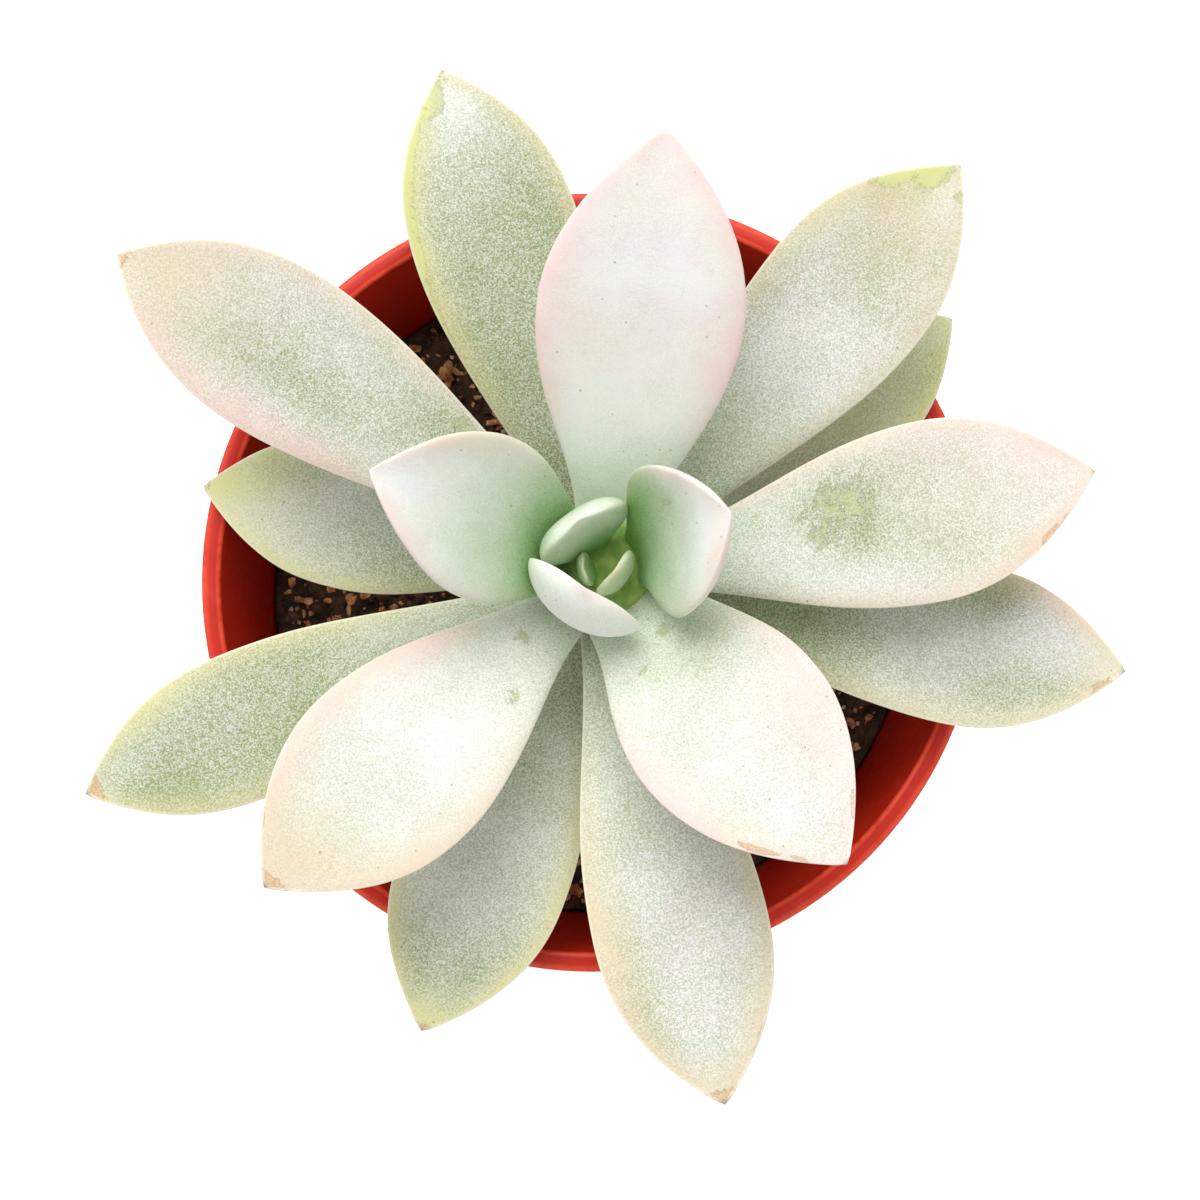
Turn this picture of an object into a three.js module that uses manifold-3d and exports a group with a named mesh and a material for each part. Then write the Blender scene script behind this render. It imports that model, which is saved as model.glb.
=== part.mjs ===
// A potted succulent: one rosette of thick, powdery leaves on a short bare stem, in a round
// injection-moulded plastic pot. Millimetres, +Z up. The origin is the middle of the pot's
// standing face, so the pot's axis is the Z axis.
//
// The leaves sit on the stem in one spiral. Each is about 137.5 degrees further round and a
// little higher than the one before, and each younger leaf stands steeper than the last.

import * as THREE from "three";
import { mergeVertices } from "three/addons/utils/BufferGeometryUtils.js";
import Module from "manifold-3d";

const wasm = await Module();
wasm.setup();

const GAP = 0.3; // clearance between touching pieces

// Pot: a tapered cup with a thicker rim band, a ring foot, a centre foot and drain holes.
const POT_HEIGHT = 85;
const RIM_RADIUS = 50;
const RIM_WIDTH = 2.4;
const RIM_BAND_HEIGHT = 9;
const RIM_BAND_TAPER = 0.5;
const RIM_ROUNDING = 0.8;
const POT_BASE_RADIUS = 34;
const POT_WALL = 1.8;
const POT_FLOOR = 2;
const FOOT_HEIGHT = 2.5;
const FOOT_WIDTH = 3;
const CENTRE_FOOT_RADIUS = 7;
const DRAIN_HOLES = 6;
const DRAIN_HOLE_RADIUS = 4;
const DRAIN_CIRCLE_RADIUS = 19;
const POT_SEGMENTS = 72;

// Soil: fills the pot from just above its floor to well below the rim.
const SOIL_TOP = 62;
const SOIL_MOUND = 1.5; // how much higher the soil stands round the stem
const SOIL_SEGMENTS = 40;

// Stem: stands a touch off the pot's axis, and carries the leaves on its upper part.
const STEM_X = 1.5;
const STEM_Y = 0.7;
const STEM_BOTTOM = 44;
const STEM_TOP = 95.6;
const STEM_SEGMENTS = 20;
const STEM_PROFILE = [
  // [height, radius]
  [STEM_BOTTOM, 0],
  [STEM_BOTTOM, 3.5],
  [54, 4.6],
  [SOIL_TOP, 5.2],
  [70, 4.8],
  [77, 5.4],
  [88, 5.4],
  [92, 4.2],
  [93.6, 2.6],
  [94.6, 0.9],
  [STEM_TOP, 0.4],
  [STEM_TOP, 0],
];

// Leaves, oldest first. turn is the way the leaf points, in degrees from +X; rise and tip are its
// slope at the base and at the tip; belly is how far along it is widest; sweep is how many degrees
// it curves to its left; cup is how much its edges stand above its middle, as a share of its half
// width; base is how wide it is where it joins the stem, as a share of its width; blunt is below 1
// for a rounded point.
const LEAVES = [
  { turn: 166, length: 48, width: 19.5, thick: 4, rise: 22, tip: 7, belly: 0.6, sweep: 4 },
  { turn: 36, length: 50.5, width: 20, thick: 4, rise: 20, tip: 6, belly: 0.62 },
  { turn: 248.5, length: 58, width: 22, thick: 4.2, rise: 20, tip: 8, belly: 0.64 },
  { turn: 108, length: 62.5, width: 22, thick: 4.4, rise: 24, tip: 8, belly: 0.66 },
  { turn: 346.5, length: 62.5, width: 20.5, thick: 4.4, rise: 24, tip: 8, belly: 0.68, sweep: 4 },
  { turn: 204.5, length: 66.5, width: 19, thick: 4.4, rise: 24, tip: 8, belly: 0.68, sweep: -1 },
  { turn: 48, length: 63.5, width: 21.5, thick: 4.6, rise: 28, tip: 12, belly: 0.66 },
  { turn: 280.5, length: 65, width: 22, thick: 4.6, rise: 28, tip: 10, belly: 0.66, sweep: 4, base: 0.4 },
  { turn: 145.5, length: 68, width: 21.5, thick: 4.8, rise: 28, tip: 12, belly: 0.68, sweep: 5 },
  { turn: 6.5, length: 59, width: 22.5, thick: 4.8, rise: 32, tip: 16, belly: 0.64, sweep: 7 },
  { turn: 224.5, length: 57, width: 24.5, thick: 4.8, rise: 38, tip: 18, belly: 0.62 },
  { turn: 81.5, length: 54.5, width: 26, thick: 4.8, rise: 46, tip: 24, belly: 0.56, base: 0.35 },
  { turn: 306, length: 52, width: 25.5, thick: 4.8, rise: 50, tip: 28, belly: 0.52, sweep: 3, base: 0.5 },
  { turn: 161, length: 36.5, width: 21, thick: 4.4, rise: 64, tip: 36, belly: 0.52, cup: 0.3, base: 0.5 },
  { turn: 17, length: 27.5, width: 19.5, thick: 4.2, rise: 71, tip: 64, cup: 0.36, base: 0.35, blunt: 0.75 },
  { turn: 238.5, length: 18, width: 16.5, thick: 3.4, rise: 50, tip: 122, cup: 0.3, base: 0.42, blunt: 0.6 },
  { turn: 123, length: 13.5, width: 13, thick: 4, rise: 69, tip: 88, cup: 0.12, base: 0.38, blunt: 0.55 },
  { turn: 322, length: 8.5, width: 7, thick: 2, rise: 77, tip: 102, cup: 0.2, base: 0.25, blunt: 0.6 },
  { turn: 192, length: 6, width: 4.5, thick: 1.6, rise: 62, tip: 92, cup: 0.15, base: 0.3, blunt: 0.6 },
];
const LEAF_BELLY = 0.5; // what a row without its own has
const LEAF_CUP = 0.14;
const LEAF_BASE = 0.3;
const LOWEST_FOOT = 76; // height at which the oldest leaf joins the stem
const HIGHEST_FOOT = 95;
const FOOT_CROWDING = 1.35; // above 1, the younger leaves join closer together
const LEAF_AROUND = 14; // vertices round a leaf's section
const LEAF_ALONG = 14; // sections from base to tip
const UPPER_SHARE = 0.35; // of the thickness that lies above the leaf's middle surface
const SHOULDER = 2.3; // higher makes the point blunter and the shoulders squarer


// Loose bark chips that lie on the soil.
const CHIPS = 12;
const CHIP_NEAREST = 17; // from the pot's axis
const CHIP_FARTHEST = 37;
const CHIP_SMALLEST = 1.3; // half length
const CHIP_LARGEST = 2.5;
const CHIP_TURN = 137.5; // degrees from one to the next

const degrees = THREE.MathUtils.degToRad;

function solidOf(geometry) {
  const bare = geometry.index ? geometry.toNonIndexed() : geometry.clone();
  bare.deleteAttribute("normal");
  bare.deleteAttribute("uv");
  const merged = mergeVertices(bare, 1e-4);
  return new wasm.Manifold(
    new wasm.Mesh({
      numProp: 3,
      vertProperties: merged.attributes.position.array,
      triVerts: new Uint32Array(merged.index.array),
    }),
  );
}

function geometryOf(solid) {
  const mesh = solid.getMesh();
  const geometry = new THREE.BufferGeometry();
  geometry.setAttribute("position", new THREE.BufferAttribute(mesh.vertProperties, 3));
  geometry.setIndex(new THREE.BufferAttribute(mesh.triVerts, 1));
  geometry.computeVertexNormals();
  return geometry;
}

// LatheGeometry turns about Y, so the result is stood up along Z.
function latheAboutZ(profile, segments) {
  const points = profile.map(([height, radius]) => new THREE.Vector2(radius, height));
  return new THREE.LatheGeometry(points, segments).rotateX(Math.PI / 2);
}

function plastic(colour) {
  return new THREE.MeshStandardMaterial({ color: colour, roughness: 0.38, metalness: 0 });
}

function matter(colour, roughness) {
  return new THREE.MeshStandardMaterial({ color: colour, roughness, metalness: 0 });
}

function namedMesh(name, geometry, material) {
  const mesh = new THREE.Mesh(geometry, material);
  mesh.name = name;
  return mesh;
}

// Inner wall radius at a height: the wall tapers from under the rim to the floor.
const INNER_TOP_RADIUS = RIM_RADIUS - RIM_WIDTH;
const INNER_FLOOR_RADIUS = POT_BASE_RADIUS - POT_WALL;
const FLOOR_TOP = FOOT_HEIGHT + POT_FLOOR;

function innerRadius(height) {
  const share = (height - FLOOR_TOP) / (POT_HEIGHT - FLOOR_TOP);
  return THREE.MathUtils.lerp(INNER_FLOOR_RADIUS, INNER_TOP_RADIUS, share);
}

function potGeometry() {
  const bandBottom = POT_HEIGHT - RIM_BAND_HEIGHT;
  const wallOutside = innerRadius(bandBottom) + POT_WALL;
  const rounding = Array.from({ length: 4 }, (_, i) => {
    const angle = (Math.PI / 2) * (i / 3);
    return [
      POT_HEIGHT - RIM_ROUNDING + RIM_ROUNDING * Math.sin(angle),
      RIM_RADIUS - RIM_ROUNDING + RIM_ROUNDING * Math.cos(angle),
    ];
  });
  const profile = [
    [0, 0],
    [0, CENTRE_FOOT_RADIUS],
    [FOOT_HEIGHT, CENTRE_FOOT_RADIUS],
    [FOOT_HEIGHT, POT_BASE_RADIUS - FOOT_WIDTH],
    [0, POT_BASE_RADIUS - FOOT_WIDTH],
    [0, POT_BASE_RADIUS],
    [bandBottom, wallOutside],
    [bandBottom, RIM_RADIUS - RIM_BAND_TAPER],
    ...rounding,
    [POT_HEIGHT, INNER_TOP_RADIUS],
    [FLOOR_TOP, INNER_FLOOR_RADIUS],
    [FLOOR_TOP, 0],
  ];
  let pot = solidOf(latheAboutZ(profile, POT_SEGMENTS));
  for (let i = 0; i < DRAIN_HOLES; i++) {
    const angle = (2 * Math.PI * i) / DRAIN_HOLES;
    const drill = new THREE.CylinderGeometry(DRAIN_HOLE_RADIUS, DRAIN_HOLE_RADIUS, 2 * POT_FLOOR, 16)
      .rotateX(Math.PI / 2)
      .translate(
        DRAIN_CIRCLE_RADIUS * Math.cos(angle),
        DRAIN_CIRCLE_RADIUS * Math.sin(angle),
        FOOT_HEIGHT + POT_FLOOR / 2,
      );
    pot = pot.subtract(solidOf(drill));
  }
  return geometryOf(pot);
}

// Height of the soil's surface: a low mound round the stem with rolling lumps.
function soilHeight(x, y) {
  const away = Math.hypot(x - STEM_X, y - STEM_Y) / INNER_TOP_RADIUS;
  const mound = SOIL_MOUND * Math.max(0, 1 - away * away);
  const broad = 0.8 * Math.sin(0.33 * x + 1) * Math.sin(0.37 * y);
  const fine = 0.4 * Math.sin(0.8 * x) * Math.sin(0.75 * y + 2);
  return SOIL_TOP + mound + broad + fine;
}

function soilGeometry() {
  const bottom = FLOOR_TOP + GAP + 0.2;
  const clearance = GAP / Math.cos(Math.PI / SOIL_SEGMENTS) + 0.2;
  const edge = innerRadius(SOIL_TOP) - clearance;
  const rings = 7;
  const profile = [
    [bottom, 0],
    [bottom, innerRadius(bottom) - clearance],
    ...Array.from({ length: rings }, (_, i) => [SOIL_TOP, edge * (1 - i / rings)]),
    [SOIL_TOP, 0],
  ];
  const geometry = latheAboutZ(profile, SOIL_SEGMENTS);
  const position = geometry.attributes.position;
  for (let i = 0; i < position.count; i++) {
    if (position.getZ(i) > SOIL_TOP - 0.01) {
      position.setZ(i, soilHeight(position.getX(i), position.getY(i)));
    }
  }
  return geometryOf(solidOf(geometry).subtract(solidOf(stemGeometry(GAP))));
}

// The stem, or the room it needs when grown is the clearance round it.
function stemGeometry(grown = 0) {
  const profile = STEM_PROFILE.map(([height, radius], i) => [
    i < 2 ? height - grown : height,
    radius > 0 ? radius + grown : 0,
  ]);
  return latheAboutZ(profile, STEM_SEGMENTS).translate(STEM_X, STEM_Y, 0);
}

function stemRadius(height) {
  const above = STEM_PROFILE.findIndex(([h]) => h > height);
  const [lowHeight, lowRadius] = STEM_PROFILE[above - 1];
  const [highHeight, highRadius] = STEM_PROFILE[above];
  return THREE.MathUtils.mapLinear(height, lowHeight, highHeight, lowRadius, highRadius);
}

// How high a leaf joins the stem.
function footOf(leaf) {
  const younger = 1 - LEAVES.indexOf(leaf) / (LEAVES.length - 1);
  return THREE.MathUtils.lerp(HIGHEST_FOOT, LOWEST_FOOT, younger ** FOOT_CROWDING);
}

// Half the leaf's width at a share of its length: a narrow base, a swelling curve to the belly,
// and an arched taper to the point.
function halfWidth(leaf, share) {
  const half = leaf.width / 2;
  const belly = leaf.belly ?? LEAF_BELLY;
  if (share < belly) {
    const swell = Math.sin((Math.PI / 2) * (share / belly)) ** 1.7;
    return half * THREE.MathUtils.lerp(leaf.base ?? LEAF_BASE, 1, swell);
  }
  const beyond = (share - belly) / (1 - belly);
  return half * (1 - beyond ** SHOULDER) ** (leaf.blunt ?? 1);
}

function thickness(leaf, share) {
  return leaf.thick * (1 - share ** 3) ** 0.6 * (0.8 + 0.2 * Math.sin(Math.PI * share));
}

// Frames along the midrib, base first: a place and the leaf's own forward, left and up.
function midrib(leaf) {
  const frames = [];
  const upperSide = UPPER_SHARE * thickness(leaf, 0) * Math.sin(degrees(leaf.rise));
  const place = new THREE.Vector3(stemRadius(footOf(leaf)) + GAP + upperSide, 0, 0);
  for (let ring = 0; ring <= LEAF_ALONG; ring++) {
    const share = Math.max(0, (ring - 1) / (LEAF_ALONG - 1));
    const pitch = degrees(THREE.MathUtils.lerp(leaf.rise, leaf.tip, share));
    const yaw = degrees((leaf.sweep ?? 0) * share);
    const forward = new THREE.Vector3(
      Math.cos(pitch) * Math.cos(yaw),
      Math.cos(pitch) * Math.sin(yaw),
      Math.sin(pitch),
    );
    const left = new THREE.Vector3(-Math.sin(yaw), Math.cos(yaw), 0);
    const up = new THREE.Vector3().crossVectors(forward, left);
    if (ring > 1) place.addScaledVector(forward, leaf.length / (LEAF_ALONG - 1));
    frames.push({ share, place: place.clone(), left, up });
  }
  return frames;
}

// A sphere's rings, from its top pole down, become the leaf's sections from tip to base.
function leafGeometry(leaf) {
  const geometry = new THREE.SphereGeometry(1, LEAF_AROUND, LEAF_ALONG);
  const position = geometry.attributes.position;
  const frames = midrib(leaf);
  for (let i = 0; i < position.count; i++) {
    const ring = LEAF_ALONG - Math.floor(i / (LEAF_AROUND + 1));
    const angle = (2 * Math.PI * (i % (LEAF_AROUND + 1))) / LEAF_AROUND;
    const { share, place, left, up } = frames[ring];
    const pole = ring === 0 || ring === LEAF_ALONG ? 0 : 1;
    const half = pole * halfWidth(leaf, share);
    const side = Math.sin(angle) > 0 ? UPPER_SHARE : 1 - UPPER_SHARE;
    const across = half * Math.cos(angle);
    const fullness = pole * side * thickness(leaf, share) * Math.sin(angle);
    const cupping = (leaf.cup ?? LEAF_CUP) * half * Math.cos(angle) ** 2;
    const point = place.clone().addScaledVector(left, across).addScaledVector(up, fullness + cupping);
    position.setXYZ(i, point.x, point.y, point.z);
  }
  geometry.computeVertexNormals();
  return geometry;
}

// A chip is a squashed, skewed block that lies just clear of the highest soil under it.
function chipMesh(i) {
  const away = THREE.MathUtils.lerp(CHIP_NEAREST, CHIP_FARTHEST, ((i * 5) % CHIPS) / (CHIPS - 1));
  const size = THREE.MathUtils.lerp(CHIP_SMALLEST, CHIP_LARGEST, ((i * 7) % CHIPS) / (CHIPS - 1));
  const turn = degrees(CHIP_TURN * i);
  const x = away * Math.cos(turn);
  const y = away * Math.sin(turn);
  const halfHeight = 0.45 * size;
  const geometry = new THREE.IcosahedronGeometry(1, 0).scale(size, 0.7 * size, halfHeight);
  const mesh = namedMesh(`bark_chip_${String(i + 1).padStart(2, "0")}`, geometry, matter(0x6b3f22, 0.95));
  let highest = soilHeight(x, y);
  for (let step = 0; step < 8; step++) {
    const around = (Math.PI / 4) * step;
    highest = Math.max(highest, soilHeight(x + size * Math.cos(around), y + size * Math.sin(around)));
  }
  mesh.position.set(x, y, highest + GAP + halfHeight);
  mesh.rotation.z = 2.4 * i;
  return mesh;
}

// ---- The assembly ----

const pottedSucculent = new THREE.Group();

pottedSucculent.add(namedMesh("pot", potGeometry(), plastic(0xb8281e)));
pottedSucculent.add(namedMesh("soil", soilGeometry(), matter(0x2a1d14, 1)));
pottedSucculent.add(namedMesh("stem", stemGeometry(), matter(0x8a7a55, 0.9)));

const leafSkin = matter(0xd3dfcf, 0.75);
LEAVES.forEach((leaf, i) => {
  const mesh = namedMesh(`leaf_${String(i + 1).padStart(2, "0")}`, leafGeometry(leaf), leafSkin);
  mesh.position.set(STEM_X, STEM_Y, footOf(leaf));
  mesh.rotation.z = degrees(leaf.turn);
  pottedSucculent.add(mesh);
});

for (let i = 0; i < CHIPS; i++) {
  pottedSucculent.add(chipMesh(i));
}

export default pottedSucculent;
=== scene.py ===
"""A potted succulent: a rosette of thick powdery leaves on a short stem, in a red plastic pot."""

import math
import random

import bmesh
import bpy
import numpy as np
from mathutils import Matrix, Vector, noise


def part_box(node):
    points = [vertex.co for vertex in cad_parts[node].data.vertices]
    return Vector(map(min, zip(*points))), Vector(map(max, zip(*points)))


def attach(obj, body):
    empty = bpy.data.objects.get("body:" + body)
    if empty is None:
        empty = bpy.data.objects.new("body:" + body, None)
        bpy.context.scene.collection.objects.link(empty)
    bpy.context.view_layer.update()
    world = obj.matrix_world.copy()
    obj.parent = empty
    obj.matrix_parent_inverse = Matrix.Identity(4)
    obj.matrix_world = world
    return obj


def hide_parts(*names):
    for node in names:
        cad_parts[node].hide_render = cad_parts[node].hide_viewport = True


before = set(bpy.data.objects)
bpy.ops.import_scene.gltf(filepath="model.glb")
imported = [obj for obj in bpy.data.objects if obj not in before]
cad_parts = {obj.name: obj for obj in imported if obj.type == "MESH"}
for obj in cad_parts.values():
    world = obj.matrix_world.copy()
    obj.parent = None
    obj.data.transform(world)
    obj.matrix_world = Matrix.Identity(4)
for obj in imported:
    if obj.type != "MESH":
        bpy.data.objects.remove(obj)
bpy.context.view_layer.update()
MM = 0.001


# ---------------------------------------------------------------------------------------------
# Pot. One injection moulding in red polypropylene: a tapered cup with a thick rim band, a floor
# with drain holes, and a ring foot. The tool leaves crisp corners with small roundings. The rim's
# corners are painted paler, as handling wear and as a painted highlight, and the wall inside is
# painted darker lower down, as a soil stain and painted shade.
# ---------------------------------------------------------------------------------------------

POT_LOW, POT_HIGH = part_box("pot")
RIM_RADIUS = (POT_HIGH.x - POT_LOW.x) / 2
POT_HEIGHT = POT_HIGH.z
RIM_WIDTH = 2.4 * MM
RIM_BAND_HEIGHT = 9 * MM
RIM_BAND_TAPER = 0.5 * MM
BASE_RADIUS = 34 * MM
WALL = 1.8 * MM
FLOOR_UNDERSIDE = 2.5 * MM
FLOOR_TOP = 4.5 * MM
FOOT_WIDTH = 3 * MM
CENTRE_FOOT_RADIUS = 7 * MM
DRAIN_HOLES = 6
DRAIN_HOLE_RADIUS = 4 * MM
DRAIN_HOLE_STEPS = 32
DRAIN_CIRCLE_RADIUS = 19 * MM
INNER_TOP_RADIUS = RIM_RADIUS - RIM_WIDTH
INNER_FLOOR_RADIUS = BASE_RADIUS - WALL
POT_STEPS = 144
SHARP_ANGLE = 35  # degrees; corners beyond this stay crisp


def inner_radius(height):
    """Radius of the pot's inner wall at a height."""
    share = (height - FLOOR_TOP) / (POT_HEIGHT - FLOOR_TOP)
    return INNER_FLOOR_RADIUS + share * (INNER_TOP_RADIUS - INNER_FLOOR_RADIUS)


def turned(outline, steps):
    """A solid of revolution about Z, from (radius, height) points that end on the axis."""
    bm = bmesh.new()
    rail = [bm.verts.new((radius, 0, height)) for radius, height in outline]
    edges = [bm.edges.new(pair) for pair in zip(rail, rail[1:])]
    bmesh.ops.spin(
        bm,
        geom=rail + edges,
        cent=(0, 0, 0),
        axis=(0, 0, 1),
        angle=2 * math.pi,
        steps=steps,
        use_merge=True,
    )
    bmesh.ops.remove_doubles(bm, verts=bm.verts, dist=1e-7)
    bmesh.ops.recalc_face_normals(bm, faces=bm.faces)
    return bm


def round_over(bm, radius, height, rounding, segments=3):
    """Rounds the circular corner at this radius and height."""
    corner = [
        e
        for e in bm.edges
        if all(
            abs(math.hypot(v.co.x, v.co.y) - radius) < 1e-5 and abs(v.co.z - height) < 1e-5
            for v in e.verts
        )
    ]
    bmesh.ops.bevel(
        bm,
        geom=corner,
        offset=rounding,
        segments=segments,
        profile=0.5,
        affect="EDGES",
        material=-1,
    )


def mesh_from(name, bm):
    """Turns a bmesh that is finished with into a mesh."""
    mesh = bpy.data.meshes.new(name)
    bm.to_mesh(mesh)
    bm.free()
    return mesh


def in_scene(name, data):
    """Puts a mesh, lamp or camera in the scene as an object."""
    thing = bpy.data.objects.new(name, data)
    bpy.context.scene.collection.objects.link(thing)
    return thing


def placed(name, mesh, material, slot, *nodes):
    """Makes a finished piece, on the one body that the whole plant is, in place of CAD nodes."""
    piece = in_scene(name, mesh)
    mesh.materials.clear()
    mesh.materials.append(material)
    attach(piece, "root")
    if nodes:
        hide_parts(*nodes)


def smooth_piece(name, bm, material, slot, *nodes):
    mesh = mesh_from(name, bm)
    mesh.shade_smooth()
    placed(name, mesh, material, slot, *nodes)


def node(tree, kind, feeds=None, **settings):
    """Adds a node. feeds gives inputs a value, or the socket that drives them."""
    new = tree.nodes.new(kind)
    for key, value in settings.items():
        setattr(new, key, value)
    for name, value in (feeds or {}).items():
        if isinstance(value, bpy.types.NodeSocket):
            tree.links.new(value, new.inputs[name])
        else:
            new.inputs[name].default_value = value
    return new


def calc(tree, operation, *values, clamp=False):
    """Works out a sum, product or other operation on sockets and numbers."""
    feeds = dict(enumerate(values))
    return node(tree, "ShaderNodeMath", feeds, operation=operation, use_clamp=clamp).outputs[0]


def mixed(tree, factor, first, second):
    """Mixes two colours, from the first at 0 to the second at 1."""
    feeds = {0: factor, 6: first, 7: second}
    return node(tree, "ShaderNodeMix", feeds, data_type="RGBA").outputs[2]


def eased(tree, value, low, high, to_low=0.0, to_high=1.0):
    """Maps low..high to 0..1, or to the values given, with soft ends."""
    feeds = {"Value": value, 1: low, 2: high, 3: to_low, 4: to_high}
    return node(tree, "ShaderNodeMapRange", feeds, interpolation_type="SMOOTHSTEP").outputs[0]


def clouds(tree, place, size, detail=2.0, roughness=0.5, warp=0.0):
    """Noise whose blotches are about size metres across. size may be a socket."""
    from_socket = isinstance(size, bpy.types.NodeSocket)
    feeds = {
        "Vector": place,
        "Scale": calc(tree, "DIVIDE", 1.0, size) if from_socket else 1 / size,
        "Detail": detail,
        "Roughness": roughness,
        "Distortion": warp,
    }
    return node(tree, "ShaderNodeTexNoise", feeds).outputs["Fac"]


def new_group(name, inputs, outputs):
    """A shader node group: inputs maps names to (socket type, value), outputs names to a type."""
    tree = bpy.data.node_groups.new(name, "ShaderNodeTree")
    for label, (kind, value) in inputs.items():
        socket = tree.interface.new_socket(label, in_out="INPUT", socket_type=kind)
        if value is not None:
            socket.default_value = value
    for label, kind in outputs.items():
        tree.interface.new_socket(label, in_out="OUTPUT", socket_type=kind)
    given = tree.nodes.new("NodeGroupInput")
    result = tree.nodes.new("NodeGroupOutput")
    return tree, given.outputs, result.inputs


def use_group(tree, group, feeds):
    return node(tree, "ShaderNodeGroup", feeds, node_tree=group).outputs


def new_material(name, **constants):
    """A material with one Principled shader, whose constant sockets are set here."""
    material = bpy.data.materials.new(name)
    material.use_nodes = True
    shader = material.node_tree.nodes["Principled BSDF"]
    for label, value in constants.items():
        shader.inputs[label.replace("_", " ")].default_value = value
    return material, material.node_tree, shader


def object_place(tree):
    return node(tree, "ShaderNodeTexCoord").outputs["Object"]


def bumped(tree, shader, height, depth):
    """Raises the surface by height times depth metres."""
    bump = node(tree, "ShaderNodeBump", {"Height": height, "Distance": depth, "Strength": 1.0})
    tree.links.new(bump.outputs["Normal"], shader.inputs["Normal"])


# Grime: a mask of soft blotches broken up by finer ones. Cover is about how much they cover.
GRIME, given, result = new_group(
    "grime",
    {
        "Place": ("NodeSocketVector", None),
        "Blotch size": ("NodeSocketFloat", 0.01),
        "Cover": ("NodeSocketFloat", 0.3),
        "Softness": ("NodeSocketFloat", 0.2),
    },
    {"Mask": "NodeSocketFloat"},
)
blotches = clouds(GRIME, given["Place"], given["Blotch size"], detail=5, roughness=0.65)
threshold = calc(GRIME, "SUBTRACT", 0.75, calc(GRIME, "MULTIPLY", given["Cover"], 0.5))
ceiling = calc(GRIME, "ADD", threshold, given["Softness"])
GRIME.links.new(eased(GRIME, blotches, threshold, ceiling), result["Mask"])

RED_PLASTIC = (0.64, 0.024, 0.009, 1)
RED_IN_DEPTH = (0.58, 0.020, 0.007, 1)
# pale red at the rim's corners: handling wear and a painted highlight
RED_WORN_AND_HIGHLIT = (0.95, 0.10, 0.045, 1)
# dark red inside the pot: a soil stain and painted shade
RED_SHADED_AND_STAINED = (0.30, 0.004, 0.002, 1)
DUST = (0.62, 0.36, 0.27, 1)
DRIED_MUD = (0.09, 0.05, 0.03, 1)
DUST_SHARE = 0.08
MUD_SHARE = 0.7
MUD_FROM = 56 * MM  # specks of mud lie on the wall from just under the soil to just over it
MUD_TO = 68 * MM
SHADE_AND_STAIN_TO = 84 * MM  # height where the painted shade and soil stain have faded out

plastic, tree, shader = new_material(
    "moulded_red_plastic", Roughness=0.36, IOR=1.49, Specular_IOR_Level=0.27
)
place = object_place(tree)
cloud = clouds(tree, place, 9 * MM, detail=4)
colour = mixed(tree, eased(tree, cloud, 0.35, 0.7), RED_PLASTIC, RED_IN_DEPTH)

# the rim's corners are painted paler, as wear and as a painted highlight, and the wall inside is
# painted darker lower down, as a damp soil stain and painted shade
x, y, height = node(tree, "ShaderNodeSeparateXYZ", {"Vector": place}).outputs


def distance(across, along):
    """How far apart two points are, from their distances in two directions at right angles."""
    squares = calc(tree, "MULTIPLY", along, along)
    return calc(tree, "SQRT", calc(tree, "MULTIPLY_ADD", across, across, squares))


def near_rim_corner(corner_radius, reach):
    """1 at the rim's circular corner at this radius, and 0 from reach away."""
    out = calc(tree, "SUBTRACT", radius, corner_radius)
    down = calc(tree, "SUBTRACT", height, POT_HEIGHT)
    return eased(tree, distance(out, down), 0.3 * reach, reach, 1.0, 0.0)


radius = distance(x, y)
# the paler rim corners are a painted highlight as well as wear, broken up by scuffs
worn_and_highlit = calc(
    tree,
    "MAXIMUM",
    near_rim_corner(RIM_RADIUS, 1.1 * MM),
    near_rim_corner(INNER_TOP_RADIUS, 0.7 * MM),
)
scuff = clouds(tree, place, 2.2 * MM, detail=5, roughness=0.7)
worn_and_highlit = calc(tree, "MULTIPLY", worn_and_highlit, eased(tree, scuff, 0.3, 0.6, 0.35, 0.8))
wall_slope = (INNER_TOP_RADIUS - INNER_FLOOR_RADIUS) / (POT_HEIGHT - FLOOR_TOP)
mid_wall = calc(tree, "MULTIPLY_ADD", height, wall_slope, inner_radius(0) + WALL / 2)
inside = calc(tree, "LESS_THAN", radius, mid_wall)
# painted shade with a soil stain: the wall inside is darker near the soil and fades out towards
# the rim
shade_and_stain = calc(tree, "MULTIPLY", inside, eased(tree, height, 62 * MM, SHADE_AND_STAIN_TO, 0.85, 0.15))
colour = mixed(tree, shade_and_stain, colour, RED_SHADED_AND_STAINED)
colour = mixed(tree, worn_and_highlit, colour, RED_WORN_AND_HIGHLIT)

dust = use_group(
    tree, GRIME, {"Place": place, "Blotch size": 6 * MM, "Cover": 0.35, "Softness": 0.25}
)["Mask"]
colour = mixed(tree, calc(tree, "MULTIPLY", dust, DUST_SHARE), colour, DUST)
mud = eased(tree, clouds(tree, place, 1.3 * MM, detail=2), 0.56, 0.62)
for mask in (
    eased(tree, height, MUD_TO - 5 * MM, MUD_TO, 1.0, 0.0),
    eased(tree, height, MUD_FROM, MUD_FROM + 4 * MM),
    inside,
):
    mud = calc(tree, "MULTIPLY", mud, mask)
colour = mixed(tree, calc(tree, "MULTIPLY", mud, MUD_SHARE), colour, DRIED_MUD)
tree.links.new(colour, shader.inputs["Base Color"])
scuffed = eased(tree, scuff, 0.3, 0.75, 0.28, 0.48)
rough = calc(tree, "ADD", scuffed, calc(tree, "MULTIPLY", mud, 0.4))
tree.links.new(rough, shader.inputs["Roughness"])
bumped(tree, shader, clouds(tree, place, 0.8 * MM, detail=3), 0.02 * MM)

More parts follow.
